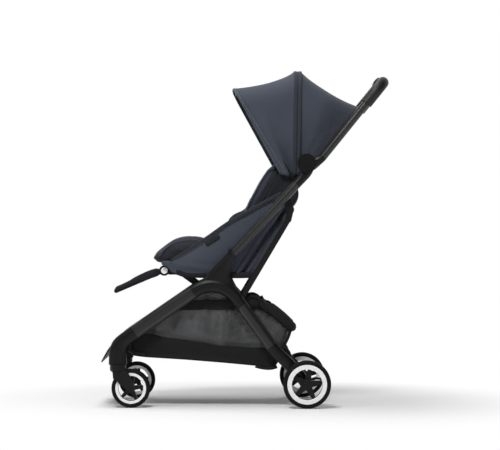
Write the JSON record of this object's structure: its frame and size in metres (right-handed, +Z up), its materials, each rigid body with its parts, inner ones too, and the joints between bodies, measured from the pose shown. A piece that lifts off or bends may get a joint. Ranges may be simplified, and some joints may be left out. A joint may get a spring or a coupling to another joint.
{
  "type": "baby stroller",
  "caption": "Compact folding baby stroller with swivelling front casters, reclining padded seat, fan canopy, leg rest and under-seat basket.",
  "frame": {"origin": "on the floor under the centre of the whole footprint, at bottom centre of the bounding box", "axes": "-X is the front (direction of travel), +X the rear, +Y the right-hand side seen from the picture's far side, +Z up"},
  "size_m": [0.8985, 0.456, 1.0544],
  "materials": {
    "frame_tube": "satin black anodised",
    "black_plastic": "fine-grained moulded black",
    "dark_metal": "satin black powder coat",
    "bare_steel": "turned steel",
    "tyre": "matt black foam rubber",
    "white_trim": "smooth white",
    "grip": "black synthetic leather",
    "seat_fabric": "dark blue-grey woven",
    "dark_fabric": "near-black woven",
    "mesh_fabric": "grey mesh"
  },
  "bodies": {
    "chassis": {"front_leg_tubes": "frame_tube", "leg_castings": "black_plastic", "arches": "dark_metal", "front_crossbar": "dark_metal", "arch_crossbar": "dark_metal", "footplate": "black_plastic", "fold_pins": "bare_steel", "seat_brackets": "dark_metal", "caster_pins": "bare_steel", "basket": "mesh_fabric"},
    "caster_left": {"caster_fork_left": "black_plastic", "front_axle_left": "bare_steel"},
    "caster_right": {"caster_fork_right": "black_plastic", "front_axle_right": "bare_steel"},
    "front_wheel_left": {"front_tyre_left": "tyre", "front_rim_left": "black_plastic", "front_ring_left": "white_trim"},
    "front_wheel_right": {"front_tyre_right": "tyre", "front_rim_right": "black_plastic", "front_ring_right": "white_trim"},
    "rear_frame": {"rear_legs": "frame_tube", "rear_brackets": "black_plastic", "rear_axle": "bare_steel"},
    "rear_wheel_left": {"rear_tyre_left": "tyre", "rear_rim_left": "black_plastic", "rear_ring_left": "white_trim"},
    "rear_wheel_right": {"rear_tyre_right": "tyre", "rear_rim_right": "black_plastic", "rear_ring_right": "white_trim"},
    "brake": {"brake_pedal": "black_plastic"},
    "upper_frame": {"upper_tubes": "frame_tube", "elbows": "black_plastic", "hinge_caps": "black_plastic", "back_cover": "seat_fabric"},
    "handle": {"handlebar": "frame_tube", "handle_brackets": "black_plastic", "grip": "grip", "release_console": "black_plastic", "canopy_rear": "seat_fabric"},
    "slider": {"release_slider": "black_plastic"},
    "trigger": {"release_trigger": "black_plastic"},
    "canopy_front_bow": {"bow_front": "dark_metal", "canopy_front": "seat_fabric"},
    "canopy_mid_bow": {"bow_mid": "dark_metal", "canopy_zip": "dark_fabric"},
    "links": {"link_bars": "dark_metal"},
    "seat": {"seat_frame": "dark_metal", "seat_cushion": "seat_fabric", "side_panels": "seat_fabric", "crotch_strap": "dark_fabric", "buckle": "black_plastic", "legrest_discs": "black_plastic"},
    "back_carrier": {"back_hinges": "dark_metal"},
    "backrest": {"backrest_frame": "dark_metal", "backrest_pad": "seat_fabric", "harness": "dark_fabric"},
    "legrest": {"legrest_frame": "dark_metal", "legrest_pad": "dark_fabric"},
    "legrest_button_l": {"legrest_button_left": "white_trim"},
    "legrest_button_r": {"legrest_button_right": "white_trim"}
  },
  "joints": [
    {"name": "frame_fold", "type": "hinge", "parent": "chassis", "child": "upper_frame", "pos_m": [-0.0482, 0, 0.48547], "axis": [0, -1, 0], "range_deg": [0, 163], "deforming": ["back_cover", "backrest_pad", "harness", "side_panels", "seat_cushion", "canopy_front", "canopy_rear", "canopy_zip", "basket", "crotch_strap"]},
    {"name": "rear_fold", "type": "hinge", "parent": "chassis", "child": "rear_frame", "pos_m": [-0.02722, 0, 0.30539], "axis": [0, 1, 0], "range_deg": [0, 88.5], "deforming": ["basket"]},
    {"name": "handle_fold", "type": "hinge", "parent": "upper_frame", "child": "handle", "pos_m": [0.18827, 0, 0.75541], "axis": [0, 1, 0], "range_deg": [0, 180.5]},
    {"name": "link_fold", "type": "hinge", "parent": "chassis", "child": "links", "pos_m": [-0.01004, 0, 0.34201], "axis": [0, -1, 0], "range_deg": [0, 116]},
    {"name": "seat_tilt", "type": "hinge", "parent": "chassis", "child": "seat", "pos_m": [-0.13171, 0, 0.36426], "axis": [0, -1, 0], "range_deg": [0, 35]},
    {"name": "back_fold", "type": "hinge", "parent": "seat", "child": "back_carrier", "pos_m": [-0.054, 0, 0.417], "axis": [0, -1, 0], "range_deg": [0, 112.5]},
    {"name": "backrest_recline", "type": "hinge", "parent": "back_carrier", "child": "backrest", "pos_m": [-0.054, 0, 0.417], "axis": [0, -1, 0], "range_deg": [-35, 0], "deforming": ["backrest_pad", "harness", "back_cover", "canopy_rear", "side_panels", "seat_cushion"]},
    {"name": "legrest_hinge", "type": "hinge", "parent": "seat", "child": "legrest", "pos_m": [-0.2539, 0, 0.4233], "axis": [0, 1, 0], "range_deg": [-50, 0]},
    {"name": "legrest_button_left_press", "type": "slide", "parent": "seat", "child": "legrest_button_l", "axis": [0, 1, 0], "range_m": [0, 0.0025], "stiffness_N_per_m": 300},
    {"name": "legrest_button_right_press", "type": "slide", "parent": "seat", "child": "legrest_button_r", "axis": [0, -1, 0], "range_m": [0, 0.0025], "stiffness_N_per_m": 300},
    {"name": "canopy_front_fold", "type": "hinge", "parent": "handle", "child": "canopy_front_bow", "pos_m": [0.15827, 0, 0.69741], "axis": [0, 1, 0], "range_deg": [0, 50], "deforming": ["canopy_front", "canopy_rear", "canopy_zip"]},
    {"name": "canopy_mid_fold", "type": "hinge", "parent": "handle", "child": "canopy_mid_bow", "pos_m": [0.15827, 0, 0.69741], "axis": [0, 1, 0], "range_deg": [0, 20.5], "deforming": ["canopy_zip"]},
    {"name": "caster_swivel_left", "type": "hinge", "parent": "chassis", "child": "caster_left", "pos_m": [-0.3955, -0.1825, 0.133], "axis": [0, 0, 1], "continuous": true},
    {"name": "caster_swivel_right", "type": "hinge", "parent": "chassis", "child": "caster_right", "pos_m": [-0.3955, 0.1825, 0.133], "axis": [0, 0, 1], "continuous": true},
    {"name": "front_wheel_left_spin", "type": "hinge", "parent": "caster_left", "child": "front_wheel_left", "pos_m": [-0.3555, -0.1795, 0.06], "axis": [0, 1, 0], "continuous": true},
    {"name": "front_wheel_right_spin", "type": "hinge", "parent": "caster_right", "child": "front_wheel_right", "pos_m": [-0.3555, 0.1795, 0.06], "axis": [0, 1, 0], "continuous": true},
    {"name": "rear_wheel_left_spin", "type": "hinge", "parent": "rear_frame", "child": "rear_wheel_left", "pos_m": [0.1885, -0.2145, 0.074], "axis": [0, 1, 0], "continuous": true},
    {"name": "rear_wheel_right_spin", "type": "hinge", "parent": "rear_frame", "child": "rear_wheel_right", "pos_m": [0.1885, 0.2145, 0.074], "axis": [0, 1, 0], "continuous": true},
    {"name": "brake_press", "type": "hinge", "parent": "rear_frame", "child": "brake", "pos_m": [0.1885, 0, 0.074], "axis": [0, 1, 0], "range_deg": [0, 20]},
    {"name": "release_slide", "type": "slide", "parent": "handle", "child": "slider", "axis": [0, 1, 0], "range_m": [0, 0.007], "stiffness_N_per_m": 150},
    {"name": "release_pull", "type": "slide", "parent": "handle", "child": "trigger", "axis": [0.628, 0, 0.7782], "range_m": [0, 0.002], "stiffness_N_per_m": 300}
  ],
  "couplings": [
    {"joint": "rear_fold", "follows": "frame_fold", "ratio": 0.53988},
    {"joint": "handle_fold", "follows": "frame_fold", "ratio": 1.1043},
    {"joint": "link_fold", "follows": "frame_fold", "ratio": 0.70859},
    {"joint": "seat_tilt", "follows": "frame_fold", "ratio": 0.21166},
    {"joint": "back_fold", "follows": "frame_fold", "ratio": 0.68712},
    {"joint": "canopy_mid_fold", "follows": "canopy_front_fold", "ratio": 0.4}
  ]
}
